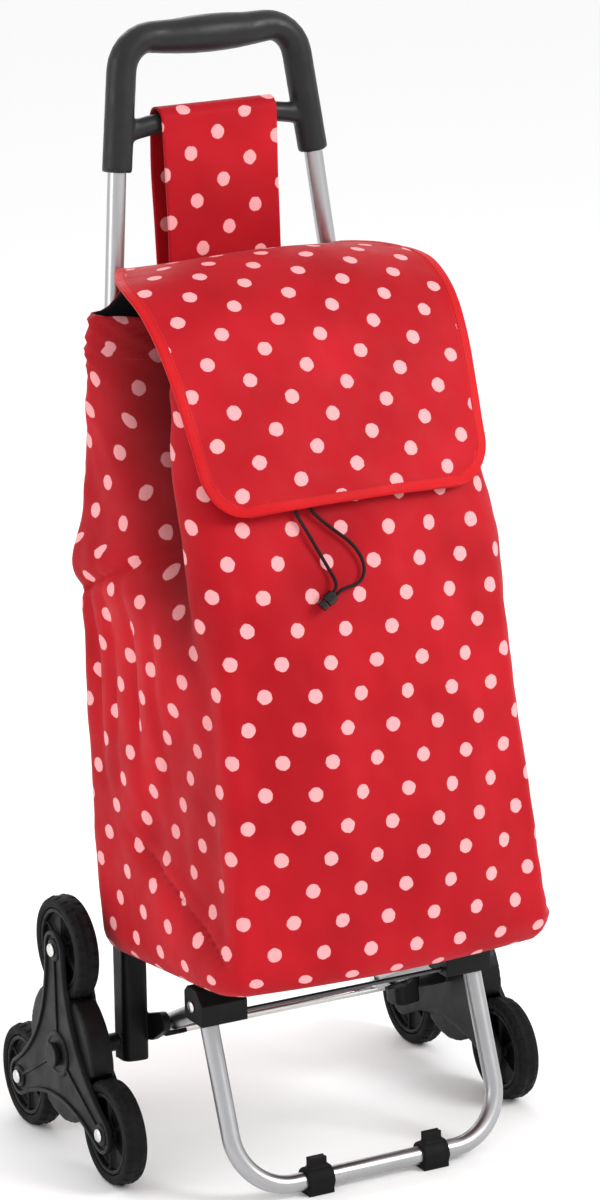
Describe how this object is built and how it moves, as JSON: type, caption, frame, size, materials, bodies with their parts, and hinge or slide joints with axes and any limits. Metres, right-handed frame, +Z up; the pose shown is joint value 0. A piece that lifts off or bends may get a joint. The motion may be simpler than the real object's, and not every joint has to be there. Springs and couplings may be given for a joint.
{
  "type": "shopping trolley",
  "caption": "Stair-climbing shopping trolley: leaning tube frame, moulded handle, dotted cloth bag with flap, folding front leg and three-wheel clusters.",
  "frame": {"origin": "on the ground under the middle of the trolley's box", "axes": "+Z up; the bag's front faces -Y; +X is to the right as seen from the front, along the axle"},
  "size_m": [0.4272, 0.3782, 0.9705],
  "materials": {
    "plated_tube": "silver plated steel tube",
    "zinc": "bright zinc plated",
    "dark_steel": "dark wire",
    "black_plastic": "moulded, lightly grained",
    "lock_plastic": "moulded",
    "rim_plastic": "moulded",
    "tyre_rubber": "matt rubber tread",
    "foot_rubber": "matt",
    "grip_plastic": "grained grip",
    "dotted_cloth": "red woven polyester with pale dots",
    "cloth_binding": "plain red binding tape",
    "lining": "black lining",
    "black_webbing": "woven tape",
    "base_board": "dark fibreboard",
    "cord": "braided cord"
  },
  "bodies": {
    "frame": {"upright_left": "plated_tube", "upright_right": "plated_tube", "bracket_left": "black_plastic", "bracket_right": "black_plastic", "pivot_bolt_left": "zinc", "pivot_bolt_right": "zinc", "axle": "zinc", "axle_spacer_left": "black_plastic", "axle_spacer_right": "black_plastic", "axle_cap_left": "black_plastic", "axle_cap_right": "black_plastic", "cross_brace": "plated_tube", "handle_grip": "grip_plastic", "hanging_strap": "dotted_cloth", "tie_strap_left": "black_webbing", "tie_strap_right": "black_webbing", "bag_front": "dotted_cloth", "bag_back": "dotted_cloth", "bag_side_left": "dotted_cloth", "bag_side_right": "dotted_cloth", "bag_bottom": "dotted_cloth", "base_board": "base_board", "drawcord_left": "cord", "drawcord_right": "cord", "lock_body": "lock_plastic"},
    "flap": {"flap": "dotted_cloth"},
    "lock_plunger": {"lock_plunger": "lock_plastic"},
    "platform": {"platform_arm_left": "plated_tube", "platform_arm_right": "plated_tube", "joint_cap_left": "black_plastic", "joint_cap_right": "black_plastic", "cross_rod": "dark_steel", "leg_rivet_left": "zinc", "leg_rivet_right": "zinc"},
    "leg": {"leg_loop": "plated_tube", "foot_left": "foot_rubber", "foot_right": "foot_rubber"},
    "star_left": {"star_inner_left": "black_plastic", "star_outer_left": "black_plastic", "wheel_pin_left_top": "zinc", "wheel_pin_left_rear": "zinc", "wheel_pin_left_front": "zinc"},
    "wheel_left_top": {"rim_left_top": "rim_plastic", "tyre_left_top": "tyre_rubber"},
    "wheel_left_rear": {"rim_left_rear": "rim_plastic", "tyre_left_rear": "tyre_rubber"},
    "wheel_left_front": {"rim_left_front": "rim_plastic", "tyre_left_front": "tyre_rubber"},
    "star_right": {"star_inner_right": "black_plastic", "star_outer_right": "black_plastic", "wheel_pin_right_top": "zinc", "wheel_pin_right_rear": "zinc", "wheel_pin_right_front": "zinc"},
    "wheel_right_top": {"rim_right_top": "rim_plastic", "tyre_right_top": "tyre_rubber"},
    "wheel_right_rear": {"rim_right_rear": "rim_plastic", "tyre_right_rear": "tyre_rubber"},
    "wheel_right_front": {"rim_right_front": "rim_plastic", "tyre_right_front": "tyre_rubber"}
  },
  "joints": [
    {"name": "flap_lift", "type": "hinge", "parent": "frame", "child": "flap", "pos_m": [0, 0.09686, 0.7665], "axis": [-1, 0, 0], "range_deg": [0, 76]},
    {"name": "lock_press", "type": "slide", "parent": "frame", "child": "lock_plunger", "axis": [0.7901, 0, 0.613], "range_m": [0, 0.0013], "stiffness_N_per_m": 400},
    {"name": "platform_fold", "type": "hinge", "parent": "frame", "child": "platform", "pos_m": [0, 0.04786, 0.106], "axis": [-1, 0, 0], "range_deg": [0, 57], "deforming": ["bag_front", "bag_back", "bag_side_left", "bag_side_right", "bag_bottom", "base_board"]},
    {"name": "leg_fold", "type": "hinge", "parent": "platform", "child": "leg", "pos_m": [0, -0.07114, 0.165], "axis": [1, 0, 0], "range_deg": [0, 65]},
    {"name": "star_left_turn", "type": "hinge", "parent": "frame", "child": "star_left", "pos_m": [-0.193, 0.06086, 0.0935], "axis": [1, 0, 0], "continuous": true},
    {"name": "wheel_left_top_spin", "type": "hinge", "parent": "star_left", "child": "wheel_left_top", "pos_m": [-0.193, 0.06086, 0.1885], "axis": [1, 0, 0], "continuous": true},
    {"name": "wheel_left_rear_spin", "type": "hinge", "parent": "star_left", "child": "wheel_left_rear", "pos_m": [-0.193, 0.14314, 0.046], "axis": [1, 0, 0], "continuous": true},
    {"name": "wheel_left_front_spin", "type": "hinge", "parent": "star_left", "child": "wheel_left_front", "pos_m": [-0.193, -0.02141, 0.046], "axis": [1, 0, 0], "continuous": true},
    {"name": "star_right_turn", "type": "hinge", "parent": "frame", "child": "star_right", "pos_m": [0.193, 0.06086, 0.0935], "axis": [1, 0, 0], "continuous": true},
    {"name": "wheel_right_top_spin", "type": "hinge", "parent": "star_right", "child": "wheel_right_top", "pos_m": [0.193, 0.06086, 0.1885], "axis": [1, 0, 0], "continuous": true},
    {"name": "wheel_right_rear_spin", "type": "hinge", "parent": "star_right", "child": "wheel_right_rear", "pos_m": [0.193, 0.14314, 0.046], "axis": [1, 0, 0], "continuous": true},
    {"name": "wheel_right_front_spin", "type": "hinge", "parent": "star_right", "child": "wheel_right_front", "pos_m": [0.193, -0.02141, 0.046], "axis": [1, 0, 0], "continuous": true}
  ]
}
